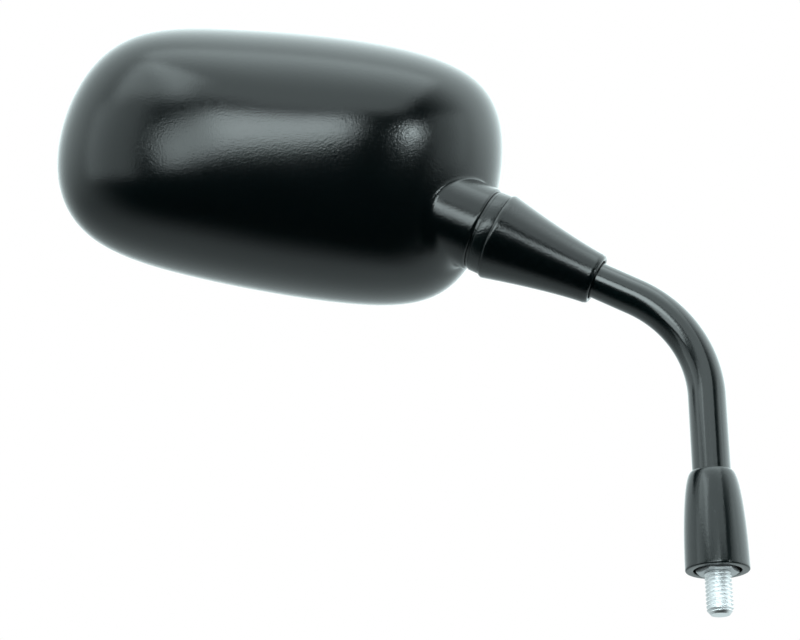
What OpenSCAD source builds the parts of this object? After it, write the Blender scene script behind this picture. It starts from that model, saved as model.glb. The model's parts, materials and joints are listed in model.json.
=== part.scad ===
// Motorcycle mirror, right-hand side, with a ball joint in the moulded neck.
// Millimetres, as mounted: X points inboard, Y points to the rider, Z points up.
// The origin is on the stud axis, on the lower face of the lock nut.

/* [Head] */
// Width of the mirror head
head_w = 182.4; // [172:0.2:194]
// Height of the mirror head
head_h = 113.4; // [106:0.2:122]
// Depth of the head from the glass rim to the back of the dome
head_depth = 55; // [52:1:60]
// Fullness of the dome: 2 is an ellipse, larger is squarer
fullness = 2.25; // [2.1:0.05:2.8]
// Wall of the moulded shell
wall = 2.2; // [2:0.1:2.6]
// Radius of the convex mirror glass
glass_radius = 1400; // [1200:50:1800]
// Thickness of the mirror glass
glass_t = 2; // [1.8:0.1:2.2]

/* [Neck] */
// Ball centre outboard of the head's inboard end
neck_in = 12.1; // [11:0.1:14]
// Ball centre above the head's lowest point
neck_up = 31.1; // [28:0.1:34]
// Glass rim to the rider's side of the ball centre
neck_behind = 29.2; // [28:0.1:31]
// Wall of the neck around the joint
neck_wall = 2.15; // [1.9:0.05:2.6]

/* [Ball joint] */
// Diameter of the ball on the arm
ball_d = 25; // [24:0.2:27]
// Thickness of the liner around the ball
liner_t = 1.45; // [1.2:0.05:1.8]
// Radius of the seat's opening on the arm side
seat_open = 10.3; // [9.5:0.1:10.6]
// Width of the retainer ring that shows between the neck and the cone
ring_w = 6; // [5:0.1:7]
// Length of the cone that covers the joint
cone_len = 43.7; // [40:0.1:46]
// Wall of the cone
cone_wall = 2.4; // [2:0.1:2.8]

/* [Arm] */
// Outside diameter of the steel tube
tube_d = 14.5; // [14:0.1:16]
// Wall of the steel tube
tube_wall = 2; // [1.8:0.1:2.4]
// Lean of the stud from upright, upper end to the rider
stud_lean = 22.4; // [18:0.2:26]
// Straight lower leg, from the lock nut to the bend
lower_leg = 69.6; // [66:0.2:80]
// Radius of the bend on the tube's centre line
bend_r = 46.9; // [40:0.1:52]
// Rise of the upper leg toward the head
arm_rise = 24.5; // [20:0.5:28]
// Sweep of the upper leg toward the rider
arm_sweep = 12.6; // [10:0.2:15]
// Upper leg, from the bend to the ball centre
upper_leg = 69; // [66:0.5:80]

/* [Mount] */
// Stud diameter, M10
stud_d = 10; // [10:1:10]
// Length of stud below the lock nut
stud_len = 15.5; // [12:0.5:24]
// Lock nut across the flats
nut_af = 14; // [14:0.5:16]
// Height of the lock nut
nut_h = 8; // [6:0.5:10]
// Length of the rubber cap
cap_len = 38; // [36:0.5:42]
// Wall of the rubber cap at its lip
cap_wall = 3; // [2.6:0.1:3.4]

/* [Hidden] */

// Gap of a running or sliding fit, and the gap that lets a part swing free
fit = 0.05;
swing_gap = 0.3;

// Direction of the upper leg, from the ball down to the bend
arm_dir = [cos(arm_rise) * cos(arm_sweep), -sin(arm_sweep), -sin(arm_rise) * cos(arm_sweep)];
stud_dir = [0, sin(stud_lean), cos(stud_lean)];

// Frame of the bend: its centre, its axis and its angle
bend_n = cross(stud_dir, -arm_dir) / norm(cross(stud_dir, -arm_dir));
bend_in = cross(bend_n, stud_dir);
bend_a = acos(stud_dir * -arm_dir);
bend_c = stud_dir * lower_leg + bend_in * bend_r;
bend_end = bend_c - bend_in * bend_r * cos(bend_a) + stud_dir * bend_r * sin(bend_a);
ball_at = bend_end - arm_dir * upper_leg;

// Joint, from the ball outward: radii of the liner, the seats, the bore and the neck
ball_r = ball_d / 2;
liner_in = ball_r + fit;
liner_out = liner_in + liner_t;
seat_in = liner_out + fit;
seat_out = seat_in + 1.1;
bore_r = seat_out + fit;
neck_r = bore_r + neck_wall;

// Joint, along its axis on the arm side: the seat, the ring, its dish and the lip of the cone
seat_front_z = sqrt(seat_in * seat_in - seat_open * seat_open);
ring_lip = 1.65;
ring_r = neck_r - 0.6;
ring_ball_r = norm([bore_r, seat_front_z + ring_lip]);
dish_r = ring_ball_r + swing_gap;
cone_r = neck_r + 0.25;
cone_z = sqrt(dish_r * dish_r - (cone_r - 0.65) * (cone_r - 0.65));
mouth_z = cone_z - ring_w;
mouth_round = 1.3;

// Joint, along its axis on the head side: the seat, the washer, the springs and the plug
seat_back_open = 9.9;
seat_rear_z = -sqrt(seat_in * seat_in - seat_back_open * seat_back_open);
washer_top = seat_rear_z - fit;
spring_top = washer_top - 2;
plug_top = spring_top - 3;
boss_z = plug_top - 1.9;

// Shank of the ball: its web in the cone and the end of the tube
web_z = dish_r + 2.8;
tube_end = web_z + 3;
shank_r = 5.5;

// Tube, stud and nut, as heights along the stud axis
tube_r = tube_d / 2;
bore_in = tube_r - tube_wall;
pilot_r = tube_r - 1.25;
core_r = stud_d / 2 - 0.3;
collar_z = nut_h + 1.5;
tube_z = collar_z + 4.5;
cap_z = 1;
nut_corner = nut_af / 2 / cos(30);

// Head: its middle, its rim and the ledge that carries the mirror
head_x = ball_at[0] - head_w / 2 + neck_in;
head_z = ball_at[2] + head_h / 2 - neck_up;
rim_y = ball_at[1] + neck_behind;
ledge = 9;
ledge_y = rim_y - ledge;
ledge_w = 2.2;
carrier_gap = 0.3;
seal_w = 1.5;
glass_below = 0.8;
foam_t = 1.2;
carrier_t = 2;

// Crown of the dome, seen from the middle of the head
crown = [5.8, 2.1];

// Closed curve of the head, as control points, and how finely it is divided
outline_pts = [[94.2, 8.3], [85.8, 38.9], [42.5, 52.1], [-16.7, 56.9], [-62.4, 57.9], [-86.1, 32.7],
    [-95.0, -4.0], [-81.2, -32.5], [-36.3, -45.7], [20.4, -56.1], [64.2, -58.4], [83.8, -33.8]];
outline_n = 60;
rings = 11;

// Screws that hold the carrier, as shares of the head's half width and half height
screw_share = [[-0.66, 0.35], [-0.5, -0.39], [0.22, 0.56], [0.2, -0.6]];
screw_at = [for (s = screw_share) [s[0] * head_w / 2, s[1] * head_h / 2]];
screw_r = 1.45;
screw_head_r = 3.2;
post_r = 3.6;

$fn = 96;

// Curve and profile functions

function spline_pt(p, i, u) =
    let (n = len(p))
    (p[(i + n - 1) % n] * pow(1 - u, 3)
    + p[i % n] * (3 * pow(u, 3) - 6 * u * u + 4)
    + p[(i + 1) % n] * (-3 * pow(u, 3) + 3 * u * u + 3 * u + 1)
    + p[(i + 2) % n] * pow(u, 3)) / 6;

function span(v) = max(v) - min(v);

// Curve of the head, stretched to its width and height
function outline() =
    let (raw = [for (k = [0 : outline_n - 1])
            let (t = k * len(outline_pts) / outline_n, i = floor(t))
            spline_pt(outline_pts, i, t - i)],
        sx = head_w / span([for (q = raw) q[0]]),
        sz = head_h / span([for (q = raw) q[1]]))
    [for (q = raw) [q[0] * sx, q[1] * sz]];

function unit(v) = v / norm(v);

function inset(p, d) =
    let (n = len(p))
    [for (k = [0 : n - 1])
        let (t = unit(p[(k + 1) % n] - p[(k + n - 1) % n]))
        p[k] + d * [-t[1], t[0]]];

// One closed ring of the dome: step 0 at the rim, step 1 at the crown
function dome_ring(p, s, y0, depth) =
    [for (q = p)
        let (f = pow(cos(90 * s), 2 / fullness), v = crown + (q - crown) * f)
        [v[0], y0 - depth * pow(sin(90 * s), 2 / fullness), v[1]]];

function flat_ring(p, y) = [for (q = p) [q[0], y, q[1]]];

function flatten(l) = [for (a = l) for (b = a) b];

// Quarter round of radius k that ends a bar of radius r at height z, from its side to its face
function end_round(r, z, k) = [for (a = [0 : 15 : 90]) [r - k + k * cos(a), z - k + k * sin(a)]];

// Outer radius of the cone at a height above its lip
function cone_at(h) = tube_r + 2.85 + (cone_r - tube_r - 2.85) * pow(1 - h / cone_len, 1.36);

// Solid between closed rings, with a flat front and a point at the back
module loft(ring_list, tip) {
    n = len(ring_list[0]);
    m = len(ring_list);
    pts = concat(flatten(ring_list), [tip]);
    front = [for (k = [0 : n - 1]) k];
    skin = [for (j = [0 : m - 2]) for (k = [0 : n - 1])
        let (a = j * n + k, b = j * n + (k + 1) % n)
        each [[a, a + n, b], [b, a + n, b + n]]];
    back = [for (k = [0 : n - 1]) [(m - 1) * n + k, m * n, (m - 1) * n + (k + 1) % n]];
    translate([head_x, 0, head_z])
        polyhedron(points = pts, faces = concat([front], skin, back), convexity = 6);
}

// Placing modules

// Local Z runs up the stud axis
module on_stud() {
    rotate([-stud_lean, 0, 0]) children();
}

// Local Z runs from the ball toward the bend
module on_ball() {
    translate(ball_at)
        rotate([0, acos(arm_dir[2]), atan2(arm_dir[1], arm_dir[0])]) children();
}

// Origin at the centre of the bend, X to the start of the bend, Y up the stud axis
module on_bend() {
    multmatrix([[-bend_in[0], stud_dir[0], bend_n[0], bend_c[0]],
        [-bend_in[1], stud_dir[1], bend_n[1], bend_c[1]],
        [-bend_in[2], stud_dir[2], bend_n[2], bend_c[2]],
        [0, 0, 0, 1]]) children();
}

// Local Z runs to the rider, measured from Y = 0, on the middle of the head
module on_head() {
    translate([head_x, 0, head_z]) rotate([90, 0, 0]) mirror([0, 0, 1]) children();
}

// One child at each screw, with its local Z measured from Y = 0
module at_screws() {
    for (s = screw_at)
        on_head() translate([s[0], s[1], 0]) children();
}

// Plate with the head's outline, between two Y planes
module plate(d, y0, y1) {
    on_head() translate([0, 0, y0]) linear_extrude(height = y1 - y0) polygon(inset(outline(), d));
}

// Shell that follows the convex glass, between two depths below its front
module glass_shell(front, back) {
    reach = norm([head_w, head_h]) / 2 + 10;
    translate([head_x, rim_y - glass_below - glass_radius, head_z]) rotate([-90, 0, 0])
        rotate_extrude() intersection() {
            difference() {
                circle(r = glass_radius - front, $fn = 720);
                circle(r = glass_radius - back, $fn = 720);
            }
            translate([0, glass_radius - 60]) square([reach, 62]);
        }
}

module turned(profile) {
    rotate_extrude() polygon(profile);
}

// Head

module dome_outer() {
    p = outline();
    loft(concat([flat_ring(inset(p, 0.9), rim_y)],
        [flat_ring(inset(p, 0.25), rim_y - 0.3)],
        [flat_ring(p, rim_y - 1)],
        [for (j = [1 : rings - 1]) dome_ring(p, j / rings, rim_y - 1, head_depth - 1)]),
        [crown[0], rim_y - head_depth, crown[1]]);
}

module dome_inner() {
    p = inset(outline(), wall);
    q = inset(outline(), wall + ledge_w);
    loft(concat([flat_ring(p, rim_y + 1), flat_ring(p, ledge_y), flat_ring(q, ledge_y)],
        [for (j = [1 : rings - 1]) dome_ring(q, j / rings, ledge_y, head_depth - ledge - wall)]),
        [crown[0], rim_y - head_depth + wall, crown[1]]);
}

module neck_solid() {
    turned(concat([[0, boss_z], [neck_r, boss_z]], end_round(neck_r, mouth_z, mouth_round), [[0, mouth_z]]));
}

module housing() {
    color([0.13, 0.14, 0.14]) difference() {
        union() {
            difference() {
                dome_outer();
                dome_inner();
            }
            on_ball() neck_solid();
            intersection() {
                dome_outer();
                at_screws()
                    translate([0, 0, rim_y - head_depth]) cylinder(r = post_r, h = head_depth - ledge);
            }
        }
        on_ball() translate([0, 0, boss_z - 8]) cylinder(r = bore_r, h = mouth_z - boss_z + 9);
        at_screws() translate([0, 0, ledge_y - 12]) cylinder(r = screw_r + fit, h = 14, $fn = 32);
    }
}

module retainer_ring() {
    groove_r = neck_r - mouth_round;
    color([0.11, 0.12, 0.12]) on_ball() intersection() {
        difference() {
            turned([[0, mouth_z], [groove_r, mouth_z], [groove_r, mouth_z + 1.1],
                [ring_r - 0.4, mouth_z + 1.1], [ring_r, mouth_z + 1.5], [ring_r, mouth_z + 12],
                [0, mouth_z + 12]]);
            translate([0, 0, -1]) cylinder(r = bore_r, h = seat_front_z + fit + 1);
            cylinder(r = seat_open + 1, h = dish_r);
        }
        sphere(r = ring_ball_r);
    }
}

module joint_plug() {
    color([0.62, 0.62, 0.6]) on_ball() difference() {
        turned([[0, boss_z], [seat_out, boss_z], [seat_out, plug_top], [0, plug_top]]);
        translate([0, 0, boss_z - 2]) cylinder(r = 7, h = plug_top - boss_z + 1, $fn = 6);
    }
}

// One dished spring washer: its outer edge lies at z, its inner edge 0.7 mm to one side
module disc_spring(z, side) {
    rise = 0.7 * side;
    turned([[bore_r - 4.8, z - rise], [bore_r - 0.6, z], [bore_r - 0.6, z - 0.8 * side],
        [bore_r - 4.8, z - rise - 0.8 * side]]);
}

module disc_springs() {
    color([0.45, 0.46, 0.48]) on_ball() {
        disc_spring(spring_top, 1);
        disc_spring(plug_top, -1);
    }
}

module thrust_washer() {
    color([0.7, 0.7, 0.68]) on_ball()
        turned([[9.2, spring_top], [seat_out, spring_top], [seat_out, washer_top], [9.2, washer_top]]);
}

module glass_carrier() {
    edge = wall + carrier_gap;
    back = glass_t + foam_t;
    color([0.2, 0.2, 0.21]) difference() {
        union() {
            intersection() {
                plate(edge, ledge_y, rim_y);
                glass_shell(back, back + carrier_t);
            }
            intersection() {
                difference() {
                    plate(edge, ledge_y, rim_y - 4);
                    plate(edge + 1.7, ledge_y - 1, rim_y);
                }
                glass_shell(back + 1, 30);
            }
            intersection() {
                plate(edge + 0.7, ledge_y, rim_y - 4);
                union() {
                    for (k = [-2 : 1])
                        translate([head_x + k * 0.18 * head_w - 0.8, ledge_y, head_z - head_h])
                            cube([1.6, 20, 2 * head_h]);
                    translate([head_x - head_w, ledge_y, head_z - 0.8]) cube([2 * head_w, 20, 1.6]);
                    at_screws() translate([0, 0, ledge_y]) cylinder(r = 4.6, h = 20);
                }
                glass_shell(back + 1, 30);
            }
        }
        on_ball() translate([0, 0, boss_z - 18]) cylinder(r = neck_r + 0.85, h = 18 - boss_z + mouth_z);
        at_screws() {
            translate([0, 0, ledge_y - 1]) cylinder(r = screw_r + 0.45, h = 20, $fn = 32);
            translate([0, 0, ledge_y + 1.6]) cylinder(r = screw_head_r + 0.4, h = 20, $fn = 48);
        }
    }
}

module carrier_screws() {
    color([0.72, 0.73, 0.74]) at_screws() translate([0, 0, ledge_y + 1.6]) difference() {
        union() {
            cylinder(r = screw_head_r, h = 1.3, $fn = 48);
            translate([0, 0, -10]) cylinder(r = screw_r, h = 10.5, $fn = 32);
            translate([0, 0, -11.4]) cylinder(r1 = 0.5, r2 = screw_r, h = 1.4, $fn = 32);
        }
        translate([-0.35, -1.8, 0.6]) cube([0.7, 3.6, 2]);
        translate([-1.8, -0.35, 0.6]) cube([3.6, 0.7, 2]);
    }
}

module foam_pad() {
    color([0.3, 0.3, 0.3]) intersection() {
        plate(wall + 3, rim_y - 12, rim_y);
        glass_shell(glass_t, glass_t + foam_t);
    }
}

module mirror_glass() {
    color([0.75, 0.8, 0.82]) intersection() {
        plate(wall + 0.1 + seal_w, rim_y - 12, rim_y);
        glass_shell(0, glass_t);
    }
}

module glass_seal() {
    color([0.08, 0.08, 0.08]) intersection() {
        difference() {
            plate(wall + 0.1, rim_y - 12, rim_y);
            plate(wall + 0.1 + seal_w, rim_y - 13, rim_y + 1);
        }
        glass_shell(-0.3, glass_t + foam_t);
    }
}

// Joint pieces around the ball

module seat(z0, z1) {
    on_ball() difference() {
        translate([0, 0, z0]) cylinder(r = seat_out, h = z1 - z0);
        sphere(r = seat_in);
    }
}

module seat_front() {
    color([0.85, 0.84, 0.78]) seat(0, seat_front_z);
}

module seat_rear() {
    color([0.82, 0.81, 0.75]) seat(seat_rear_z, 0);
}

module ball_liner() {
    half = 0.6 * ball_r;
    color([0.25, 0.3, 0.34]) on_ball() intersection() {
        difference() {
            sphere(r = liner_out);
            sphere(r = liner_in);
        }
        translate([0, 0, -half]) cylinder(r = liner_out + 1, h = 2 * half);
    }
}

// Arm

module pivot_ball() {
    color([0.66, 0.67, 0.68]) on_ball() union() {
        sphere(r = ball_r);
        cylinder(r = shank_r, h = web_z - 1);
        translate([0, 0, web_z - 2]) cylinder(r = pilot_r + 3, h = 2);
        translate([0, 0, web_z]) cylinder(r = pilot_r, h = tube_end - web_z);
        translate([0, 0, tube_end]) cylinder(r = bore_in - fit, h = 15);
    }
}

module cone_shroud() {
    z0 = cone_z;
    z1 = z0 + cone_len;
    tip_r = cone_at(cone_len);
    color([0.13, 0.14, 0.14]) on_ball() difference() {
        turned(concat([[0, z0], [cone_r - 0.65, z0], [cone_r - 0.25, z0 + 0.35]],
            [for (h = [1.3 : (cone_len - 3) / 14 : cone_len - 1.6]) [cone_at(h - 1.3), z0 + h]],
            end_round(tip_r, z1, 1.2), [[0, z1]]));
        sphere(r = dish_r);
        turned(concat([[0, z0]],
            [for (z = [z0 : (web_z - z0) / 6 : web_z + 0.01]) [cone_at(z - z0) - cone_wall, z]],
            [[0, web_z]]));
        turned(concat([[0, web_z - 1], [pilot_r + fit, web_z - 1], [pilot_r + fit, tube_end]],
            [for (z = [tube_end : (z1 - 6 - tube_end) / 6 : z1 - 5.99]) [cone_at(z - z0) - cone_wall, z]],
            [[tube_r + fit, z1 - 5], [tube_r + fit, z1 - 1.6], [tube_r + 0.85, z1 - 1.2],
            [tube_r + 0.85, z1 + 1], [0, z1 + 1]]));
    }
}

module tube_wall_2d() {
    difference() {
        circle(r = tube_r);
        circle(r = bore_in);
    }
}

// Straight leg of the tube, starting on the bend's own X axis
module tube_leg(from, len) {
    translate([bend_r, from, 0]) rotate([-90, 0, 0]) linear_extrude(height = len) tube_wall_2d();
}

module tube() {
    color([0.1, 0.1, 0.1]) on_bend() {
        tube_leg(tube_z - lower_leg, lower_leg - tube_z);
        rotate_extrude(angle = bend_a) translate([bend_r, 0]) tube_wall_2d();
        rotate([0, 0, bend_a]) tube_leg(0, upper_leg - tube_end);
    }
}

module stud() {
    spigot = tube_z + 18;
    color([0.75, 0.76, 0.77]) on_stud()
        turned([[0, -stud_len], [stud_d / 2 - 1.5, -stud_len], [stud_d / 2, 1.9 - stud_len], [stud_d / 2, 0],
            [core_r, 0], [core_r, collar_z], [tube_r, collar_z], [tube_r, tube_z], [bore_in - fit, tube_z],
            [bore_in - fit, spigot], [bore_in - 1, spigot + 1], [0, spigot + 1]]);
}

module lock_washer() {
    washer_r = nut_af / 2 + 0.8;
    color([0.6, 0.61, 0.62]) on_stud() translate([0, 0, nut_h]) difference() {
        cylinder(r = washer_r, h = collar_z - nut_h);
        translate([0, 0, -1]) cylinder(r = core_r + fit, h = 4);
        translate([core_r - 1, -0.6, -1]) cube([washer_r, 1.2, 4]);
    }
}

module lock_nut() {
    color([0.7, 0.71, 0.73]) on_stud() intersection() {
        difference() {
            cylinder(r = nut_corner, h = nut_h, $fn = 6);
            translate([0, 0, -1]) cylinder(r = core_r + fit, h = nut_h + 2);
        }
        turned([[0, 0], [nut_af / 2, 0], [nut_af / 2 + 1.3, 0.75], [nut_af / 2 + 1.3, nut_h - 0.75],
            [nut_af / 2, nut_h], [0, nut_h]]);
    }
}

module dust_cap() {
    z1 = cap_z + cap_len;
    bore = nut_corner + 0.87;
    lip_r = bore + cap_wall;
    top_r = tube_r + 0.55;
    color([0.09, 0.09, 0.09]) on_stud() turned(concat(
        [[bore, cap_z + 0.5], [bore + 0.35, cap_z], [lip_r - 0.45, cap_z], [lip_r - 0.1, cap_z + 0.35]],
        [for (a = [1.5 : 7.375 : 90.5]) [top_r + (lip_r - top_r) * cos(a), cap_z + cap_len * sin(a)]],
        [[tube_r + fit, z1], [tube_r + fit, cap_z + 25], [bore, cap_z + 22]]));
}

housing();
retainer_ring();
joint_plug();
disc_springs();
thrust_washer();
seat_front();
seat_rear();
ball_liner();
pivot_ball();
cone_shroud();
tube();
stud();
lock_washer();
lock_nut();
dust_cap();
glass_carrier();
carrier_screws();
foam_pad();
mirror_glass();
glass_seal();
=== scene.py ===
import json
import math

import bmesh
import bpy
import numpy as np
from mathutils import Matrix, Vector


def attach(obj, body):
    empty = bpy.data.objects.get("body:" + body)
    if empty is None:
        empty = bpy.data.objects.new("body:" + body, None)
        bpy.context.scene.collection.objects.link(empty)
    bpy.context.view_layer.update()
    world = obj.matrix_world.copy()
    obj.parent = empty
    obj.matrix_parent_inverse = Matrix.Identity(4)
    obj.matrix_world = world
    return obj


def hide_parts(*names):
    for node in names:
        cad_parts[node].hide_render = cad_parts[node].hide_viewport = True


MM = 0.001
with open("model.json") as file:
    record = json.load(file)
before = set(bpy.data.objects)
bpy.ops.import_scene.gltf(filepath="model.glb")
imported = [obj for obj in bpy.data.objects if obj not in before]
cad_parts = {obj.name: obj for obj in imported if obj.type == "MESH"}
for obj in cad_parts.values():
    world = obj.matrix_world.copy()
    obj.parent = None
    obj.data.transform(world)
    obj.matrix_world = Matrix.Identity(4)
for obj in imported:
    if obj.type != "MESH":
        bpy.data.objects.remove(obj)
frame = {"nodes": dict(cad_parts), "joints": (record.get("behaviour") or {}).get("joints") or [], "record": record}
nodes = frame["nodes"]
joints = {j["name"]: j for j in frame["joints"]}
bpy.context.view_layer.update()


# Places of the joints, in millimetres and unit vectors

ball = np.array(joints["head_pan"]["pos_m"]) / MM
arm_dir = -np.array(joints["head_roll"]["axis"])
stud_dir = np.array(joints["cap_lift"]["axis"])

# Sizes of the head, in millimetres, and the middle of its outline
HEAD_W = 182.4
HEAD_H = 113.4
HEAD_DEPTH = 55.0
FULLNESS = 2.25
RIM_H = 1.0
WALL = 2.2
LEDGE = 9.0
LEDGE_W = 2.2
GLASS_RADIUS = 1400.0
GLASS_T = 2.0
GLASS_BELOW = 0.8
GLASS_EDGE = 0.35
SEAL_W = 1.5
SEAL_GAP = 0.1
SEAL_OVER = 0.3
SEAL_DEPTH = 3.2
NECK_IN = 12.1
NECK_UP = 31.1
NECK_BEHIND = 29.2
rim_y = ball[1] + NECK_BEHIND
dome_y = rim_y - RIM_H
dome_depth = HEAD_DEPTH - RIM_H
ledge_y = rim_y - LEDGE
head_x = ball[0] - HEAD_W / 2 + NECK_IN
head_z = ball[2] + HEAD_H / 2 - NECK_UP
crown = np.array([5.8, 2.1])

# Sizes of the joint about its axis, which runs from the ball toward the arm
FIT = 0.05
SWING_GAP = 0.3
SEAT_IN = 14.05
SEAT_OPEN = 10.3
SEAT_WALL = 1.1
NECK_WALL = 2.15
RING_W = 6.0
RING_LIP = 1.65
RING_IN = 0.6
CONE_OVER = 0.25
MOUTH_ROUND = 1.3
BOSS_Z = -16.9
WEB_Z = 2.8
WEB_T = 3.0
LIP_W = 0.65
LIP_H = 1.3
bore_r = SEAT_IN + SEAT_WALL + FIT
neck_r = bore_r + NECK_WALL
ring_r = neck_r - RING_IN
seat_front_z = math.sqrt(SEAT_IN**2 - SEAT_OPEN**2)
ring_ball_r = math.hypot(bore_r, seat_front_z + RING_LIP)
dish_r = ring_ball_r + SWING_GAP
cone_r = neck_r + CONE_OVER
cone_z = math.sqrt(dish_r**2 - (cone_r - LIP_W) ** 2)
mouth_z = cone_z - RING_W
web_z = dish_r + WEB_Z
tube_end = web_z + WEB_T

# Sizes of the arm and the cap
TUBE_R = 7.25
BORE_IN = 5.25
TUBE_Z = 14.0
BEND_R = 46.9
LOWER_LEG = 69.6
UPPER_LEG = 69.0
CONE_LEN = 43.7
CONE_WALL = 2.4
CONE_CURVE = 1.36
CONE_TIP = TUBE_R + 2.85
CAP_Z = 1.0
CAP_LEN = 38.0
CAP_BORE = 8.95
CAP_LIP = 11.95
CAP_TOP = TUBE_R + 0.55

# Sizes of the stud
STUD_BOTTOM = -15.5
PITCH = 1.5
THREAD_R = 4.98
THREAD_DEPTH = 0.8
THREAD_TOP = 1.2
TIP_R = 3.5
SHANK_Z = 0.3
SHANK_R = 4.68
COLLAR_Z = 9.5
SPIGOT_R = 5.18
SPIGOT_TOP = 33.0

OUTLINE = np.array([
    [94.2, 8.3], [85.8, 38.9], [42.5, 52.1], [-16.7, 56.9], [-62.4, 57.9], [-86.1, 32.7],
    [-95.0, -4.0], [-81.2, -32.5], [-36.3, -45.7], [20.4, -56.1], [64.2, -58.4], [83.8, -33.8],
])


def unit(v):
    v = np.asarray(v, float)
    return v / np.linalg.norm(v)


def axes_for(direction, toward):
    """Two unit vectors square to the direction; the first leans toward the second argument."""
    d = unit(direction)
    a = unit(np.asarray(toward, float) - d * np.dot(toward, d))
    return a, np.cross(d, a), d


def spline(n):
    """Closed cubic spline drawn toward the head's control points, n points."""
    t = np.arange(n) / n * len(OUTLINE)
    i = t.astype(int)
    u = (t - i)[:, None]
    p = [OUTLINE[(i + k - 1) % len(OUTLINE)] for k in range(4)]
    return (
        p[0] * (1 - u) ** 3
        + p[1] * (3 * u**3 - 6 * u**2 + 4)
        + p[2] * (-3 * u**3 + 3 * u**2 + 3 * u + 1)
        + p[3] * u**3
    ) / 6


# The curve is stretched until the 60 points that the solids use are as wide and high as the head
stretch = np.array([HEAD_W, HEAD_H]) / np.ptp(spline(60), axis=0)


def outline(n):
    return spline(n) * stretch


def inset(p, d):
    """Outline moved inward by d."""
    t = np.roll(p, -1, 0) - np.roll(p, 1, 0)
    t /= np.linalg.norm(t, axis=1)[:, None]
    return p + d * np.column_stack([-t[:, 1], t[:, 0]])


def head_ring(p, y):
    """Ring of the head in the assembly, from points of its outline and their y."""
    y = np.broadcast_to(y, (len(p),))
    return np.column_stack([p[:, 0] + head_x, y, p[:, 1] + head_z])


def crown_point(depth):
    """The one point that closes a dome."""
    return np.array([[crown[0] + head_x, rim_y - depth, crown[1] + head_z]])


def dome_rings(p, steps, y0, depth):
    """Rings from the rim to the crown on a superellipse profile."""
    out = []
    for s in steps:
        f = math.cos(math.pi / 2 * s) ** (2 / FULLNESS)
        h = math.sin(math.pi / 2 * s) ** (2 / FULLNESS)
        out.append(head_ring(crown + (p - crown) * f, y0 - depth * h))
    return out


def smooth_crown(verts, share, scale=60.0, order=6, fitted=0.75, full=0.2, fade=0.5):
    """Moves the points near the crown onto one smooth surface fitted through the dome round it.

    Share runs from 0 at the crown to 1 at the rim. The fitted surface holds alone up to full, and then fades
    into the dome.
    """
    x = (verts[:, 0] - head_x - crown[0]) / scale
    z = (verts[:, 2] - head_z - crown[1]) / scale
    terms = np.column_stack([x**i * z**j for i in range(order + 1) for j in range(order + 1 - i)])
    near = share < fitted
    fit = np.linalg.lstsq(terms[near], verts[near, 1], rcond=None)[0]
    t = np.clip((share - full) / fade, 0, 1)
    keep = t * t * (3 - 2 * t)
    y = np.where(near, terms @ fit * (1 - keep) + verts[:, 1] * keep, verts[:, 1])
    return np.column_stack([verts[:, 0], y, verts[:, 2]])


# Mesh helpers

def shade(obj, sharp):
    """Smooth shading, broken at edges that bend by more than sharp, in degrees."""
    obj.data.polygons.foreach_set("use_smooth", [True] * len(obj.data.polygons))
    obj.data.set_sharp_from_angle(angle=math.radians(sharp))


def make_object(name, verts, faces, sharp=40.0):
    """Object in the assembly's place from points in millimetres."""
    mesh = bpy.data.meshes.new(name)
    mesh.from_pydata([tuple(v) for v in np.asarray(verts) * MM], [], faces)
    mesh.validate()
    mesh.update()
    obj = bpy.data.objects.new(name, mesh)
    bpy.context.scene.collection.objects.link(obj)
    shade(obj, sharp)
    return obj


def turn_outward(obj):
    """Makes the normals of closed pieces point out."""
    bm = bmesh.new()
    bm.from_mesh(obj.data)
    bmesh.ops.recalc_face_normals(bm, faces=bm.faces)
    bm.to_mesh(obj.data)
    bm.free()
    return obj


def grid_faces(rows, cols, base=0, closed=False):
    """Quads between rows of a tube-like grid; closed joins the last row to the first."""
    faces = []
    for j in range(rows if closed else rows - 1):
        a = base + j * cols
        b = base + ((j + 1) % rows) * cols
        for k in range(cols):
            m = (k + 1) % cols
            faces.append((a + k, a + m, b + m, b + k))
    return faces


def dome_faces(rows, cols, base=0):
    """Quads between the rows of a dome and triangles from its last row to the point after it."""
    last = base + (rows - 1) * cols
    fan = [(last + k, last + (k + 1) % cols, last + cols) for k in range(cols)]
    return grid_faces(rows, cols, base) + fan


def arc(centre, radii, start, end, steps):
    """Points of a profile's arc, its angles in degrees from the outward direction."""
    across, up = radii if isinstance(radii, tuple) else (radii, radii)
    turns = np.radians(np.linspace(start, end, steps))
    return [(centre[0] + across * math.cos(t), centre[1] + up * math.sin(t)) for t in turns]


def soften(points, steps):
    """Rounds the corners of a profile. Each point is (x, y) or (x, y, radius of its corner)."""
    out = []
    n = len(points)
    for i, p in enumerate(points):
        r = p[2] if len(p) > 2 else 0.0
        here = np.array(p[:2], float)
        if r <= 0:
            out.append(here)
            continue
        before = np.array(points[(i - 1) % n][:2], float) - here
        after = np.array(points[(i + 1) % n][:2], float) - here
        la = np.linalg.norm(before)
        lb = np.linalg.norm(after)
        cosine = np.clip(np.dot(before, after) / la / lb, -1, 1)
        half = math.acos(cosine) / 2
        cut = min(r / math.tan(half), 0.49 * la, 0.49 * lb)
        start = here + before / la * cut
        end = here + after / lb * cut
        centre = here + unit(before / la + after / lb) * cut / math.cos(half)
        radius = cut * math.tan(half)
        for k in range(steps + 1):
            q = start + (end - start) * k / steps
            out.append(centre + unit(q - centre) * radius)
    return np.array(out)


def turned(name, profile, origin, direction, cols=160):
    """Solid of revolution from a closed profile of (radius, height) in millimetres."""
    a, b, d = axes_for(direction, (0, -1, 0))
    ang = np.arange(cols) / cols * 2 * math.pi
    ring = np.outer(np.cos(ang), a) + np.outer(np.sin(ang), b)
    verts = np.concatenate([np.asarray(origin) + ring * r + d * z for r, z in profile])
    return turn_outward(make_object(name, verts, grid_faces(len(profile), cols, closed=True)))


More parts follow.
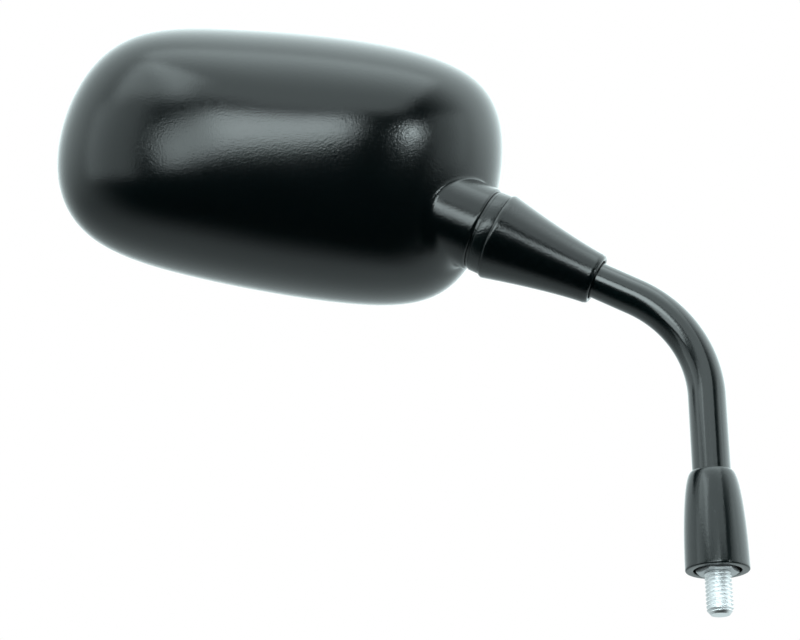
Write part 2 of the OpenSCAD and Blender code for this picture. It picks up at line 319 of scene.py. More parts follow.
# Head shell: dome, neck, rim and inner wall in one skin

HEAD_COLS = 300
NECK_COLS = 192
# The head is opened for the neck only above this height on the neck's axis
NECK_FLOOR = -36.0
# Width left between the opened dome and the first row of the fillet
ZIP_GAP = 0.35
# The opening in the inner wall is this much narrower than the neck
HOLE_IN = 0.6
# The fillet is tight at the top of the neck and wide where it runs into the lower flank
FILLET_TIGHT = 1.1
FILLET_WIDER = 4.1
FILLET_TOWARD = np.array([-0.35, -0.1, -1.0])

neck_u, neck_v, neck_d = axes_for(arm_dir, (0, -1, 0))
fillet_turn = math.atan2(FILLET_TOWARD @ neck_v, FILLET_TOWARD @ neck_u)


def fillet(angle):
    """Width of the fillet round the neck's foot."""
    near = 0.5 + 0.5 * np.cos(angle - fillet_turn)
    return FILLET_TIGHT + FILLET_WIDER * near**3


def from_neck(points):
    """Radius, angle and height of points about the neck's axis."""
    rel = points - ball
    u = rel @ neck_u
    v = rel @ neck_v
    return np.hypot(u, v), np.arctan2(v, u), rel @ neck_d


def on_neck(radius, angle, height):
    """Points from their radius, angle and height about the neck's axis."""
    across = np.outer(radius * np.cos(angle), neck_u) + np.outer(radius * np.sin(angle), neck_v)
    return ball + across + np.outer(height, neck_d)


def outline_reach(n=7200):
    """Distance of the outline from the crown by direction, over three turns."""
    from_crown = outline(n) - crown
    turn = np.arctan2(from_crown[:, 1], from_crown[:, 0])
    reach = np.hypot(from_crown[:, 0], from_crown[:, 1])
    order = np.argsort(turn)
    full = 2 * math.pi
    turn = np.concatenate([turn[order] - full, turn[order], turn[order] + full])
    return turn, np.tile(reach[order], 3)


reach_turns, reaches = outline_reach()


def outside_dome(points):
    """Positive outside the dome, negative inside."""
    x = points[:, 0] - head_x - crown[0]
    z = points[:, 2] - head_z - crown[1]
    share = np.hypot(x, z) / np.interp(np.arctan2(z, x), reach_turns, reaches)
    h = np.clip((dome_y - points[:, 1]) / dome_depth, 0, None)
    return share**FULLNESS + h**FULLNESS - 1


def dome_height(radius, angle, lowest=-40.0, highest=30.0, halvings=44):
    """Height on the neck's axis at which a line beside it leaves the dome."""
    low = np.full(len(angle), lowest)
    high = np.full(len(angle), highest)
    for _ in range(halvings):
        middle = (low + high) / 2
        out = outside_dome(on_neck(radius, angle, middle)) > 0
        high = np.where(out, middle, high)
        low = np.where(out, low, middle)
    return (low + high) / 2


def neck_rows():
    """Rows of the neck: over the fillet, up its side, round its mouth and down the bore.

    The fillet is a quadratic curve from the dome to the side, and its end is kept just below the mouth's
    rounding.
    """
    turns = np.arange(NECK_COLS) / NECK_COLS * 2 * math.pi
    wide = fillet(turns)
    foot_z = dome_height(neck_r + wide, turns)
    probe = 0.15
    rise = dome_height(neck_r + wide + probe, turns) - dome_height(neck_r + wide - probe, turns)
    corner_z = foot_z - rise / (2 * probe) * wide
    side_top = mouth_z - MOUTH_ROUND
    pull = 0.8
    least_side = 0.3
    least_curve = 0.2
    side_z = np.minimum(corner_z + pull * np.hypot(wide, corner_z - foot_z), side_top - least_side)
    corner_z = np.minimum(corner_z, side_z - least_curve)
    rows = []
    for t in np.linspace(0, 1, 9):
        r = (1 - t) ** 2 * (neck_r + wide) + 2 * t * (1 - t) * neck_r + t * t * neck_r
        z = (1 - t) ** 2 * foot_z + 2 * t * (1 - t) * corner_z + t * t * side_z
        rows.append((r, z))
    for t in np.linspace(0, 1, 6)[1:]:
        rows.append((neck_r, side_z + (side_top - side_z) * t))
    below = mouth_z - 3
    lip = soften([(neck_r, below), (neck_r, mouth_z, MOUTH_ROUND), (bore_r, mouth_z), (bore_r, below)], 8)
    chamfer = 0.3
    boss_r = neck_r - 0.4
    rows += list(lip[2:])
    rows += [(bore_r, BOSS_Z + chamfer), (bore_r + chamfer, BOSS_Z), (boss_r, BOSS_Z)]
    return [on_neck(r, turns, z) for r, z in rows]


def open_skin(faces, gone):
    """Faces that touch none of the gone points, and the loop of points round the opening."""
    kept = []
    edges = set()
    for face in faces:
        if any(gone[i] for i in face):
            edges.update(zip(face, face[1:] + face[:1]))
        else:
            kept.append(face)
    border = {a: b for a, b in edges if (b, a) not in edges}
    loop = [min(border)]
    while border[loop[-1]] != loop[0]:
        loop.append(border[loop[-1]])
    return kept, loop


def zip_loops(verts, loop, ring):
    """Triangles between two closed loops of points that run the same way round."""
    shift = int(np.argmin(np.linalg.norm(verts[ring] - verts[loop[0]], axis=1)))
    ring = ring[shift:] + ring[:shift]
    faces = []
    i = 0
    j = 0
    while i < len(loop) or j < len(ring):
        a = loop[i % len(loop)]
        b = ring[j % len(ring)]
        next_a = loop[(i + 1) % len(loop)]
        next_b = ring[(j + 1) % len(ring)]
        step_a = np.linalg.norm(verts[next_a] - verts[b])
        step_b = np.linalg.norm(verts[next_b] - verts[a])
        if j >= len(ring) or (i < len(loop) and step_a < step_b):
            faces.append((a, next_a, b))
            i += 1
        else:
            faces.append((a, next_b, b))
            j += 1
    return faces


def inner_rows(rim):
    """Rows of the rim's rounded edge, the ledge for the glass and the inner dome."""
    outer_round = 1.1
    inner_round = 0.5
    edge = soften([(0, -3), (0, 0, outer_round), (WALL, 0, inner_round), (WALL, -LEDGE)], 6)[1:]
    rows = [head_ring(inset(rim, d), rim_y + h) for d, h in edge if h > -RIM_H or d > WALL / 2]
    inner = inset(rim, WALL + LEDGE_W)
    rows.append(head_ring(inner, ledge_y))
    return rows + dome_rings(inner, np.linspace(0.04, 0.97, 40), ledge_y, HEAD_DEPTH - LEDGE - WALL)


def build_housing():
    rim = outline(HEAD_COLS)
    near_rim = 0.12
    steps = np.concatenate([np.linspace(0, near_rim, 9)[:-1], np.linspace(near_rim, 0.985, 84)])
    share = np.append(np.repeat(np.cos(math.pi / 2 * steps) ** (2 / FULLNESS), HEAD_COLS), 0.0)
    dome = dome_rings(rim, steps, dome_y, dome_depth)
    verts = smooth_crown(np.concatenate([*dome, crown_point(HEAD_DEPTH)]), share)

    # The dome is opened where the neck leaves it
    radius, angle, height = from_neck(verts)
    gone = (height > NECK_FLOOR) & (radius < neck_r + fillet(angle) + ZIP_GAP)
    faces, loop = open_skin(dome_faces(len(dome), HEAD_COLS), gone)
    around = sum(math.remainder(angle[b] - angle[a], 2 * math.pi) for a, b in zip(loop, loop[1:] + loop[:1]))
    if around < 0:
        loop.reverse()

    # The ragged edge of the opening is joined to the first row of the neck
    base = len(verts)
    neck = neck_rows()
    verts = np.concatenate([verts, *neck])
    faces += grid_faces(len(neck), NECK_COLS, base)
    faces += zip_loops(verts, loop, list(range(base, base + NECK_COLS)))

    # The inner wall hangs from the rim and is open inside the neck
    base = len(verts)
    rows = inner_rows(rim)
    inside = np.concatenate([*rows, crown_point(HEAD_DEPTH - WALL)])
    radius, _, height = from_neck(inside)
    hole = (height > NECK_FLOOR) & (radius < neck_r - HOLE_IN)
    verts = np.concatenate([verts, inside])
    for k in range(HEAD_COLS):
        m = (k + 1) % HEAD_COLS
        faces.append((k, base + k, base + m, m))
    inner, _ = open_skin(dome_faces(len(rows), HEAD_COLS), hole)
    faces += [tuple(base + i for i in face) for face in inner]

    used = sorted({i for face in faces for i in face})
    index = {old: new for new, old in enumerate(used)}
    faces = [tuple(index[i] for i in face) for face in faces]
    return turn_outward(make_object("head_shell", verts[used], faces, 50.0))


shell = build_housing()


# Ring of the joint and the cone over it

def build_ring():
    """Ring with a foot on the neck's mouth, a round face under the cone and a back on the seat."""
    foot_z = mouth_z + 0.03
    foot_r = neck_r - MOUTH_ROUND
    step_z = mouth_z + 1.1
    inner_r = bore_r + 0.1
    back_z = seat_front_z + 0.1
    corner = 0.4
    widest = math.degrees(math.acos(ring_r / ring_ball_r))
    foot = [(inner_r, foot_z), (foot_r, foot_z), (foot_r, step_z)]
    edge = arc((ring_r - corner, step_z + corner), corner, -90, 0, 6)
    face = arc((0, 0), ring_ball_r, widest, 52.5, 12)
    back = [(SEAT_OPEN + 1.1, back_z), (inner_r, back_z)]
    return turned("joint_ring", foot + edge + face + back, ball, arm_dir)


def cone_at(h):
    """Outer radius of the cone at a height above the lip's rounding."""
    return CONE_TIP + (cone_r - CONE_TIP) * (1 - h / CONE_LEN) ** CONE_CURVE


def build_cone():
    """Cone with a tail that grips the tube, a web on the tube's end and a dish over the ring."""
    end = cone_z + CONE_LEN
    rounding = 1.2
    groove = TUBE_R + 0.85
    grip = TUBE_R + 0.07
    passage = TUBE_R - 1.15
    dish_rim_z = 16.5
    lip = arc((cone_r - LIP_W, cone_z + LIP_H), (LIP_W, LIP_H), -90, 0, 9)
    side = [(cone_at(h - LIP_H), cone_z + h) for h in np.linspace(2.0, CONE_LEN - 1.6, 60)]
    tail = arc((CONE_TIP - rounding, end - rounding), rounding, 0, 90, 9)
    mouth = [(groove, end - 0.3), (groove, end - 1.2), (grip, end - 1.6), (grip, end - 5.0)]
    hollow = [(cone_at(z - cone_z) - CONE_WALL, z) for z in np.linspace(end - 6.0, tube_end, 8)]
    web = [(passage, tube_end), (passage, web_z), (cone_at(web_z - cone_z) - CONE_WALL, web_z)]
    first = math.acos((cone_at(dish_rim_z - cone_z) - CONE_WALL) / dish_r)
    last = math.acos((cone_r - LIP_W) / dish_r)
    dish = arc((0, 0), dish_r, math.degrees(first), math.degrees(last), 10)[:-1]
    return turned("arm_cone", lip + side + tail + mouth + hollow + web + dish, ball, arm_dir, cols=192)


ring = build_ring()
cone = build_cone()


# Rubber cap over the nut, open below

def build_cap():
    crest = CAP_Z + CAP_LEN
    inner_round = 0.35
    outer_round = 0.6
    grip = TUBE_R + 0.06
    bulge = (CAP_LIP - CAP_TOP, CAP_LEN)
    lip = arc((CAP_BORE + inner_round, CAP_Z + inner_round), inner_round, 180, 270, 7)
    foot = arc((CAP_LIP - outer_round, CAP_Z + outer_round), outer_round, -90, 0, 7)
    side = arc((CAP_TOP, CAP_Z), bulge, 2, 70, 30) + arc((CAP_TOP, CAP_Z), bulge, 72, 89, 14)
    inside = [(TUBE_R + 0.3, crest), (grip, crest - 0.25), (grip, CAP_Z + 25), (CAP_BORE, CAP_Z + 22)]
    return turned("nut_cap", lip + foot + side + inside, (0, 0, 0), stud_dir)


cap = build_cap()


# Small helpers to build node trees, for shapes and for materials

def node_tree(name, sizes):
    """Geometry Nodes tree with a geometry and a material input, the named sizes and a geometry output."""
    tree = bpy.data.node_groups.new(name, "GeometryNodeTree")
    tree.interface.new_socket(name="Geometry", in_out="INPUT", socket_type="NodeSocketGeometry")
    tree.interface.new_socket(name="Geometry", in_out="OUTPUT", socket_type="NodeSocketGeometry")
    tree.interface.new_socket(name="Material", in_out="INPUT", socket_type="NodeSocketMaterial")
    for label, value in sizes.items():
        kind = "NodeSocketInt" if isinstance(value, int) else "NodeSocketFloat"
        tree.interface.new_socket(name=label, in_out="INPUT", socket_type=kind).default_value = value
    return tree, tree.nodes.new("NodeGroupInput"), tree.nodes.new("NodeGroupOutput")


def fill(tree, socket, value):
    """Sets a socket to a value or links it to another node's output."""
    if isinstance(value, bpy.types.NodeSocket):
        tree.links.new(value, socket)
    else:
        socket.default_value = value


def add_node(tree, kind, **sockets):
    """Node with its named sockets filled; an underscore stands for a space."""
    node = tree.nodes.new(kind)
    for label, value in sockets.items():
        fill(tree, node.inputs[label.replace("_", " ")], value)
    return node


def field(tree, operation, *values, clamp=False):
    """Output of a Math node."""
    node = tree.nodes.new("ShaderNodeMath")
    node.operation = operation
    node.use_clamp = clamp
    for socket, value in zip(node.inputs, values):
        fill(tree, socket, value)
    return node.outputs[0]


def close_tree(tree, source, geometry, sink):
    """Ends a tree in Realize Instances and Set Material."""
    solid = add_node(tree, "GeometryNodeRealizeInstances", Geometry=geometry)
    finish = add_node(tree, "GeometryNodeSetMaterial", Geometry=solid.outputs[0],
        Material=source.outputs["Material"])
    tree.links.new(finish.outputs[0], sink.inputs["Geometry"])


def run_tree(name, start, tree, sizes):
    """Runs the tree on a starting object's data and returns the result as a plain mesh object."""
    obj = bpy.data.objects.new(name, start)
    bpy.context.scene.collection.objects.link(obj)
    modifier = obj.modifiers.new("shape", "NODES")
    modifier.node_group = tree
    for item in tree.interface.items_tree:
        if item.in_out == "INPUT" and item.name in sizes:
            modifier[item.identifier] = sizes[item.name]
    bpy.context.view_layer.update()
    mesh = bpy.data.meshes.new_from_object(obj.evaluated_get(bpy.context.evaluated_depsgraph_get()))
    bpy.data.objects.remove(obj)
    result = bpy.data.objects.new(name, mesh)
    bpy.context.scene.collection.objects.link(result)
    mesh.name = name
    mesh.materials.clear()
    return result


# Bent tube: two circles swept along the arm's centre line and joined at the ends

def arm_line():
    """Points of the centre line of the arm, in millimetres."""
    up = unit(stud_dir)
    to_head = -unit(arm_dir)
    n = unit(np.cross(up, to_head))
    inward = np.cross(n, up)
    angle = math.acos(float(np.dot(up, to_head)))
    centre = up * LOWER_LEG + inward * BEND_R
    points = [up * s for s in np.linspace(TUBE_Z, LOWER_LEG, 12)[:-1]]
    for t in np.linspace(0, angle, 64):
        points.append(centre - inward * BEND_R * math.cos(t) + up * BEND_R * math.sin(t))
    end = points[-1]
    points += [end + to_head * s for s in np.linspace(0, UPPER_LEG - tube_end, 12)[1:]]
    return np.array(points)


def tube_tree(sizes):
    tree, source, sink = node_tree("swept_tube", sizes)
    walls = []
    for label in ("Outer Radius", "Bore Radius"):
        circle = add_node(tree, "GeometryNodeCurvePrimitiveCircle", Resolution=source.outputs["Sides"],
            Radius=source.outputs[label])
        sweep = add_node(tree, "GeometryNodeCurveToMesh", Curve=source.outputs["Geometry"],
            Profile_Curve=circle.outputs["Curve"])
        walls.append(sweep.outputs["Mesh"])
    inside_out = add_node(tree, "GeometryNodeFlipFaces", Mesh=walls[1])
    join = tree.nodes.new("GeometryNodeJoinGeometry")
    for wall in (walls[0], inside_out.outputs["Mesh"]):
        tree.links.new(wall, join.inputs["Geometry"])
    close_tree(tree, source, join.outputs["Geometry"], sink)
    return tree


def build_tube():
    line = bpy.data.curves.new("arm_line", "CURVE")
    line.dimensions = "3D"
    places = arm_line() * MM
    track = line.splines.new("POLY")
    track.points.add(len(places) - 1)
    for point, place in zip(track.points, places):
        point.co = (*place, 1.0)
    sizes = {"Outer Radius": TUBE_R * MM, "Bore Radius": BORE_IN * MM, "Sides": 96}
    obj = run_tree("arm_tube", line, tube_tree(sizes), sizes)
    bm = bmesh.new()
    bm.from_mesh(obj.data)
    open_edges = [e for e in bm.edges if e.is_boundary]
    end_reach = 12 * MM
    for place in (places[0], places[-1]):
        near = [e for e in open_edges if (e.verts[0].co - Vector(place)).length < end_reach]
        bmesh.ops.bridge_loops(bm, edges=near)
    bm.to_mesh(obj.data)
    bm.free()
    shade(obj, 40.0)
    return turn_outward(obj)


tube = build_tube()


# Threaded stud: a sleeve of points pushed out to the metric thread form along a helix

# Parts of one pitch: half of the flat root, and the sloping flank
HALF_ROOT = 0.07
FLANK = 0.36
# Growth of the tip's radius with height
TIP_SLOPE = 0.79
# Whole turns added so that no part of the helix counts below zero
TURNS_ADDED = 1000.0


def thread_tree(sizes):
    """Grid whose X is an angle and whose Y is a height, rolled up into a threaded sleeve."""
    tree, source, sink = node_tree("metric_thread", sizes)
    size = source.outputs
    position = tree.nodes.new("GeometryNodeInputPosition")
    place = add_node(tree, "ShaderNodeSeparateXYZ", Vector=position.outputs[0])
    angle = place.outputs["X"]
    height = place.outputs["Y"]
    pitches = field(tree, "DIVIDE", height, size["Pitch"])
    turns = field(tree, "SUBTRACT", pitches, field(tree, "DIVIDE", angle, 2 * math.pi))
    phase = field(tree, "FRACT", field(tree, "ADD", turns, TURNS_ADDED))
    from_root = field(tree, "ABSOLUTE", field(tree, "SUBTRACT", phase, 0.5))
    flank = field(tree, "DIVIDE", field(tree, "SUBTRACT", from_root, HALF_ROOT), FLANK, clamp=True)
    cut = field(tree, "MULTIPLY", field(tree, "SUBTRACT", 1.0, flank), size["Thread Depth"])
    crest = field(tree, "SUBTRACT", size["Major Radius"], cut)
    rise = field(tree, "SUBTRACT", height, size["Bottom"])
    tip = field(tree, "ADD", size["Tip Radius"], field(tree, "MULTIPLY", rise, TIP_SLOPE))
    shaped = field(tree, "MINIMUM", crest, tip)
    plain = field(tree, "MINIMUM", shaped, size["Plain Radius"])
    above = field(tree, "GREATER_THAN", height, size["Plain Above"])
    change = field(tree, "MULTIPLY", above, field(tree, "SUBTRACT", plain, shaped))
    radius = field(tree, "ADD", shaped, change)
    x = field(tree, "MULTIPLY", radius, field(tree, "COSINE", angle))
    y = field(tree, "MULTIPLY", radius, field(tree, "SINE", angle))
    rolled = add_node(tree, "ShaderNodeCombineXYZ", X=x, Y=y, Z=height)
    sleeve = add_node(tree, "GeometryNodeSetPosition", Geometry=size["Geometry"], Position=rolled.outputs[0])
    closed = add_node(tree, "GeometryNodeMergeByDistance", Geometry=sleeve.outputs[0], Distance=0.002 * MM)
    close_tree(tree, source, closed.outputs[0], sink)
    return tree


def flat_grid(columns, heights):
    """Grid of angle against height, in radians and metres."""
    mesh = bpy.data.meshes.new("sleeve")
    angles = np.linspace(0, 2 * math.pi, columns + 1)
    points = [(a, h, 0.0) for h in heights for a in angles]
    width = columns + 1
    faces = [
        (j * width + k, j * width + k + 1, (j + 1) * width + k + 1, (j + 1) * width + k)
        for j in range(len(heights) - 1) for k in range(columns)
    ]
    mesh.from_pydata(points, [], faces)
    return mesh


def grow_ring(bm, loop, radius, height):
    """Draws a loop of edges out to a new radius and height, in millimetres, and returns the new loop."""
    grown = bmesh.ops.extrude_edge_only(bm, edges=loop)["geom"]
    for v in [g for g in grown if isinstance(g, bmesh.types.BMVert)]:
        out = v.co.copy()
        out.z = 0
        v.co = out.normalized() * radius * MM + Vector((0, 0, height * MM))
    return [g for g in grown if isinstance(g, bmesh.types.BMEdge)]


def build_stud():
    sizes = {
        "Pitch": PITCH * MM, "Major Radius": THREAD_R * MM, "Thread Depth": THREAD_DEPTH * MM,
        "Tip Radius": TIP_R * MM, "Bottom": STUD_BOTTOM * MM, "Plain Above": SHANK_Z * MM,
        "Plain Radius": SHANK_R * MM,
    }
    rows_per_pitch = 20
    heights = np.arange(STUD_BOTTOM, THREAD_TOP, PITCH / rows_per_pitch) * MM
    obj = run_tree("arm_stud", flat_grid(120, heights), thread_tree(sizes), sizes)
    bm = bmesh.new()
    bm.from_mesh(obj.data)
    levels = sorted({round(v.co.z, 7) for v in bm.verts})
    centre_r = 0.4
    above = [
        (SHANK_R, COLLAR_Z), (TUBE_R, COLLAR_Z), (TUBE_R, TUBE_Z),
        (SPIGOT_R, TUBE_Z), (SPIGOT_R, SPIGOT_TOP), (centre_r, SPIGOT_TOP),
    ]
    for level, profile in [(levels[0], [(centre_r, STUD_BOTTOM)]), (levels[-1], above)]:
        loop = [e for e in bm.edges if e.is_boundary and all(abs(v.co.z - level) < 1e-6 for v in e.verts)]
        for radius, height in profile:
            loop = grow_ring(bm, loop, radius, height)
        bmesh.ops.contextual_create(bm, geom=loop)
    turn = Matrix(axes_for(stud_dir, (0, -1, 0))).transposed()
    for v in bm.verts:
        v.co = turn @ v.co
    bm.to_mesh(obj.data)
    bm.free()
    shade(obj, 50.0)
    return turn_outward(obj)


stud = build_stud()


# Convex glass and its seal

GLASS_COLS = 240
seal_in = WALL + SEAL_GAP
glass_in = seal_in + SEAL_W


def glass_y(points, below):
    """Place of a sphere that lies below the front of the glass, over points of the head's outline."""
    rest = (GLASS_RADIUS - below) ** 2 - points[:, 0] ** 2 - points[:, 1] ** 2
    return rim_y - GLASS_BELOW - GLASS_RADIUS + np.sqrt(rest)


def build_glass():
    border = inset(outline(GLASS_COLS), glass_in)
    edge = inset(outline(GLASS_COLS), glass_in + GLASS_EDGE)
    layers = [(border * f, 0.0) for f in np.linspace(0.02, 1, 30)[:-1]]
    layers += [(edge, 0.0), (border, GLASS_EDGE), (border, GLASS_T)]
    layers += [(border * f, GLASS_T) for f in np.linspace(0.98, 0.02, 8)]
    rows = [head_ring(points, glass_y(points, below)) for points, below in layers]
    faces = grid_faces(len(rows), GLASS_COLS)
    faces.append(tuple(range(GLASS_COLS)))
    faces.append(tuple(range((len(rows) - 1) * GLASS_COLS, len(rows) * GLASS_COLS)))
    return turn_outward(make_object("convex_glass", np.concatenate(rows), faces, 25.0))


def build_seal():
    line = outline(GLASS_COLS)
    corner = 0.5
    outer = [(seal_in, -SEAL_DEPTH), (seal_in, SEAL_OVER, corner)]
    inner = [(glass_in, SEAL_OVER, corner), (glass_in, -SEAL_DEPTH)]
    rows = []
    for d, above in soften(outer + inner, 5):
        points = inset(line, d)
        rows.append(head_ring(points, glass_y(points, -above)))
    faces = grid_faces(len(rows), GLASS_COLS, closed=True)
    return turn_outward(make_object("edge_seal", np.concatenate(rows), faces))


glass = build_glass()
seal = build_seal()


# Each piece rides on its body and stands for its CAD node

PIECES = [
    (shell, "head", "housing", "grained_plastic"),
    (ring, "head", "retainer_ring", "ring_plastic"),
    (cone, "stem", "cone_shroud", "cone_plastic"),
    (cap, "cap", "dust_cap", "cap_rubber"),
    (tube, "stem", "tube", "painted_tube"),
    (stud, "stem", "stud", "zinc_plate"),
    (glass, "head", "mirror_glass", "mirror_glass"),
    (seal, "head", "glass_seal", "seal_rubber"),
]
for obj, body, node, slot_name in PIECES:
    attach(obj, body)
    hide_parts(node)


# Shader groups

def new_group(name, inputs, outputs):
    """Shader group with its inputs' values and its outputs. An input without a value is a vector."""
    g = bpy.data.node_groups.new(name, "ShaderNodeTree")
    for label, value in inputs.items():
        kind = "NodeSocketVector" if value is None else "NodeSocketFloat"
        socket = g.interface.new_socket(name=label, in_out="INPUT", socket_type=kind)
        if value is not None:
            socket.default_value = value
    for label in outputs:
        g.interface.new_socket(name=label, in_out="OUTPUT", socket_type="NodeSocketFloat")
    return g, g.nodes.new("NodeGroupInput").outputs, g.nodes.new("NodeGroupOutput").inputs


def grain_group():
    """Fine moulded grain as a height for Bump."""
    g, given, result = new_group("moulded_grain", {"Vector": None, "Size": 1800.0, "Soft": 0.5}, ["Height"])
    cells = add_node(g, "ShaderNodeTexVoronoi", Vector=given["Vector"], Scale=given["Size"])
    cells.feature = "SMOOTH_F1"
    g.links.new(given["Soft"], cells.inputs["Smoothness"])
    fine_size = field(g, "MULTIPLY", given["Size"], 0.8)
    fine = add_node(g, "ShaderNodeTexNoise", Vector=given["Vector"], Scale=fine_size, Detail=3.0)
    height = field(g, "ADD", field(g, "MULTIPLY", cells.outputs["Distance"], 0.6), fine.outputs["Fac"])
    g.links.new(height, result["Height"])
    return g


def handling_group():
    """Faint uneven sheen and specks of dust, as a roughness change and a colour mask."""
    speck_level = 0.69
    speck_sharpness = 7.0
    inputs = {"Vector": None, "Roughness": 0.5, "Spread": 0.06}
    g, given, result = new_group("light_handling", inputs, ["Roughness", "Dust"])
    cloud = add_node(g, "ShaderNodeTexNoise", Vector=given["Vector"], Scale=26.0, Detail=5.0, Roughness=0.6)
    speck = add_node(g, "ShaderNodeTexNoise", Vector=given["Vector"], Scale=900.0, Detail=1.0)
    change = field(g, "MULTIPLY", field(g, "SUBTRACT", cloud.outputs["Fac"], 0.5), given["Spread"])
    g.links.new(field(g, "ADD", given["Roughness"], change, clamp=True), result["Roughness"])
    above = field(g, "SUBTRACT", speck.outputs["Fac"], speck_level)
    dust = field(g, "MULTIPLY", above, speck_sharpness, clamp=True)
    g.links.new(field(g, "MULTIPLY", dust, cloud.outputs["Fac"]), result["Dust"])
    return g


GRAIN = grain_group()
HANDLING = handling_group()


# Materials

MOULDED_BLACK = (0.0005, 0.0016, 0.0018)
PAINTED_BLACK = (0.0008, 0.0024, 0.0026)
RUBBER_BLACK = (0.0012, 0.003, 0.0032)
DUST_GREY = (0.32, 0.33, 0.33)
GRAIN_DEPTH = 0.2 * MM


def material(name, colour, rough, metallic=0.0, grain=0.0, size=1800.0, spread=0.06, dust=0.0, **more):
    """Principled material with the shared grain and handling groups on Object coordinates."""
    m = bpy.data.materials.new(name)
    m.use_nodes = True
    tree = m.node_tree
    shader = tree.nodes["Principled BSDF"]
    shader.inputs["Base Color"].default_value = (*colour, 1.0)
    shader.inputs["Metallic"].default_value = metallic
    shader.inputs["Roughness"].default_value = rough
    for label, value in more.items():
        shader.inputs[label.replace("_", " ")].default_value = value
    coords = tree.nodes.new("ShaderNodeTexCoord")
    handling = tree.nodes.new("ShaderNodeGroup")
    handling.node_tree = HANDLING
    handling.inputs["Roughness"].default_value = rough
    handling.inputs["Spread"].default_value = spread
    tree.links.new(coords.outputs["Object"], handling.inputs["Vector"])
    tree.links.new(handling.outputs["Roughness"], shader.inputs["Roughness"])
    if dust > 0:
        mix = tree.nodes.new("ShaderNodeMix")
        mix.data_type = "RGBA"
        mix.inputs["A"].default_value = (*colour, 1.0)
        mix.inputs["B"].default_value = (*DUST_GREY, 1.0)
        tree.links.new(field(tree, "MULTIPLY", handling.outputs["Dust"], dust), mix.inputs["Factor"])
        tree.links.new(mix.outputs["Result"], shader.inputs["Base Color"])
    if grain > 0:
        texture = tree.nodes.new("ShaderNodeGroup")
        texture.node_tree = GRAIN
        texture.inputs["Size"].default_value = size
        bump = tree.nodes.new("ShaderNodeBump")
        bump.inputs["Strength"].default_value = grain
        bump.inputs["Distance"].default_value = GRAIN_DEPTH
        tree.links.new(coords.outputs["Object"], texture.inputs["Vector"])
        tree.links.new(texture.outputs["Height"], bump.inputs["Height"])
        tree.links.new(bump.outputs["Normal"], shader.inputs["Normal"])
    return m


FINISHES = {
    "grained_plastic": dict(colour=MOULDED_BLACK, rough=0.17, grain=0.22, size=1700.0, dust=0.05),
    "cone_plastic": dict(colour=MOULDED_BLACK, rough=0.17, grain=0.22, size=1700.0, dust=0.05),
    "ring_plastic": dict(colour=PAINTED_BLACK, rough=0.22, grain=0.4, size=1500.0),
    "painted_tube": dict(colour=PAINTED_BLACK, rough=0.17, grain=0.08, size=1200.0, spread=0.04,
        Coat_Weight=0.3, Coat_Roughness=0.1),
    "cap_rubber": dict(colour=RUBBER_BLACK, rough=0.17, grain=0.14, size=1500.0, dust=0.12),
    "seal_rubber": dict(colour=(0.012, 0.012, 0.012), rough=0.55, grain=0.3),
    "zinc_plate": dict(colour=(0.5, 0.51, 0.52), rough=0.46, metallic=1.0, grain=0.1, size=2500.0,
        spread=0.1),
    # Brighter copy of zinc_plate for the stud's thread: painted light in its colour
    "zinc_painted_bright": dict(colour=(0.84, 0.85, 0.86), rough=0.4, metallic=1.0, grain=0.1, size=2500.0,
        spread=0.1),
    "screw_steel": dict(colour=(0.62, 0.63, 0.65), rough=0.3, metallic=1.0),
    "spring_steel": dict(colour=(0.3, 0.31, 0.33), rough=0.34, metallic=1.0),
    "washer_steel": dict(colour=(0.6, 0.61, 0.62), rough=0.32, metallic=1.0),
    "cast_zinc": dict(colour=(0.5, 0.51, 0.52), rough=0.4, metallic=1.0, grain=0.2),
    "plug_plastic": dict(colour=(0.4, 0.4, 0.38), rough=0.5),
    "seat_nylon": dict(colour=(0.75, 0.73, 0.64), rough=0.45),
    "liner_plastic": dict(colour=(0.1, 0.13, 0.16), rough=0.4),
    "carrier_plastic": dict(colour=(0.03, 0.03, 0.034), rough=0.5),
    "foam": dict(colour=(0.05, 0.05, 0.05), rough=0.95),
    "mirror_glass": dict(colour=(0.4, 0.45, 0.47), rough=0.02, metallic=1.0, spread=0.012),
}
MATERIALS = {name: material(name, **look) for name, look in FINISHES.items()}

slots = {s["node"]: s["material_slot"] for s in frame["record"]["subparts"]}
for name, obj in nodes.items():
    obj.data.materials.clear()
    obj.data.materials.append(MATERIALS[slots[name]])
for obj, body, node, slot_name in PIECES:
    obj.data.materials.append(MATERIALS[slot_name])

# The stud's thread takes a brighter copy of the zinc on the flat faces of the nut and the washer: the same
# plating, with painted light in its colour
stud.data.materials[0] = MATERIALS["zinc_painted_bright"]


# Camera, fitted to the arm and the head in the photograph

camera_data = bpy.data.cameras.new("camera")
camera_data.lens = 90.0
camera_data.sensor_width = 36.0
camera = bpy.data.objects.new("camera", camera_data)
bpy.context.scene.collection.objects.link(camera)
camera.location = (-0.11698, -0.73576, 0.09334)
camera.rotation_euler = (math.radians(90), 0, 0)
bpy.context.scene.camera = camera


# Floor, world and lights

STUDIO_TINT = (0.85, 0.99, 1.0)

bpy.ops.mesh.primitive_circle_add(vertices=96, radius=0.6, fill_type="NGON", location=(-0.117, 0.06, -0.25))
floor = bpy.context.object
floor.name = "floor"
floor_material = bpy.data.materials.new("floor")
floor_material.use_nodes = True
floor_shader = floor_material.node_tree.nodes["Principled BSDF"]
floor_shader.inputs["Base Color"].default_value = (0.82, 0.82, 0.82, 1.0)
floor_shader.inputs["Roughness"].default_value = 0.8
floor.data.materials.append(floor_material)
floor.visible_glossy = False

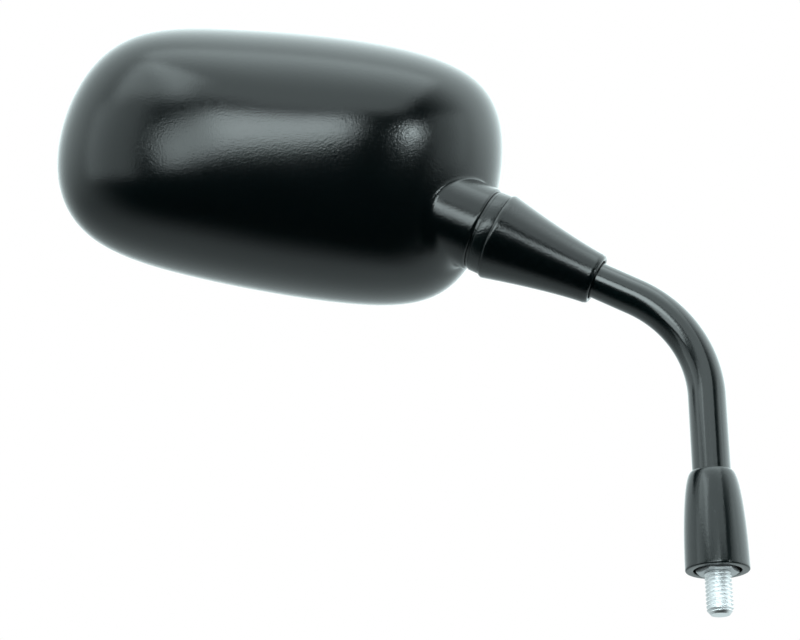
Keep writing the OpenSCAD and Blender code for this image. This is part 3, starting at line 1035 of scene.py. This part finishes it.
# The camera sees white. Reflections see a cove behind the mirror that is bright above and dim below, and a
# dark room on the camera's side
world = bpy.data.worlds.new("studio")
bpy.context.scene.world = world
world.use_nodes = True
tree = world.node_tree
sky = tree.nodes["Background"]
sky.inputs["Color"].default_value = (*STUDIO_TINT, 1.0)
where = tree.nodes.new("ShaderNodeTexCoord")
split = add_node(tree, "ShaderNodeSeparateXYZ", Vector=where.outputs["Generated"])


def ramp(axis, start, end, low, high, curve="SMOOTHSTEP"):
    """Value that runs from low to high between two places on an axis of the sky."""
    n = add_node(tree, "ShaderNodeMapRange", Value=split.outputs[axis])
    n.interpolation_type = curve
    for label, value in (("From Min", start), ("From Max", end), ("To Min", low), ("To Max", high)):
        n.inputs[label].default_value = value
    return n.outputs["Result"]


cove = add_node(tree, "ShaderNodeMix", Factor=ramp("Z", -0.45, 0.3, 0.0, 1.0),
    A=ramp("Y", -0.5, 0.03, 0.0, 0.85), B=ramp("Y", -0.6, 0.2, 0.0, 2.75))
side = ramp("X", -0.9, 0.1, 0.55, 1.0, "LINEAR")
tree.links.new(field(tree, "MULTIPLY", cove.outputs["Result"], side), sky.inputs["Strength"])
plain = add_node(tree, "ShaderNodeBackground", Color=(1.0, 1.0, 1.0, 1.0), Strength=1.0)
path = tree.nodes.new("ShaderNodeLightPath")
choose = add_node(tree, "ShaderNodeMixShader", Fac=path.outputs["Is Camera Ray"])
tree.links.new(sky.outputs[0], choose.inputs[1])
tree.links.new(plain.outputs[0], choose.inputs[2])
tree.links.new(choose.outputs[0], tree.nodes["World Output"].inputs["Surface"])


def softbox(name, turn, rise, distance, width, height, radiance, roll=0.0, shape="RECTANGLE"):
    """Light on a sphere round the head: turn to the right of the camera side, and rise, in degrees."""
    t = math.radians(turn)
    e = math.radians(rise)
    aim = Vector((head_x, ball[1], head_z)) * MM
    place = aim + Vector((math.sin(t) * math.cos(e), -math.cos(t) * math.cos(e), math.sin(e))) * distance
    data = bpy.data.lights.new(name, "AREA")
    data.shape = shape
    data.size = width
    if shape == "RECTANGLE":
        data.size_y = height
    area = width * height * (math.pi / 4 if shape == "DISK" else 1.0)
    data.energy = radiance * area * math.pi
    data.color = STUDIO_TINT
    obj = bpy.data.objects.new(name, data)
    bpy.context.scene.collection.objects.link(obj)
    obj.location = place
    facing = (aim - place).to_track_quat("-Z", "Y")
    obj.rotation_euler = (facing.to_matrix() @ Matrix.Rotation(math.radians(roll), 3, "Z")).to_euler()
    obj.visible_camera = False


softbox("front", -14, 14, 1.25, 1.3, 0.42, 4.2, roll=17)
softbox("front_middle", -4, 19, 1.2, 0.72, 0.38, 3.2, roll=15)
softbox("side_lamp", 42, 11, 1.2, 0.2, 0.2, 14.5, shape="DISK")
softbox("ceiling", 0, 66, 1.25, 1.8, 1.6, 1.8)
softbox("left_fill", -68, 10, 1.2, 0.8, 0.75, 1.15)
softbox("right_fill", 68, 10, 1.2, 0.6, 0.6, 0.9)
softbox("left_strip", -57, 43, 1.2, 0.8, 0.6, 2.4)

view_settings = bpy.context.scene.view_settings
view_settings.view_transform = "Standard"
view_settings.look = "None"
view_settings.exposure = 0.0
view_settings.gamma = 1.0
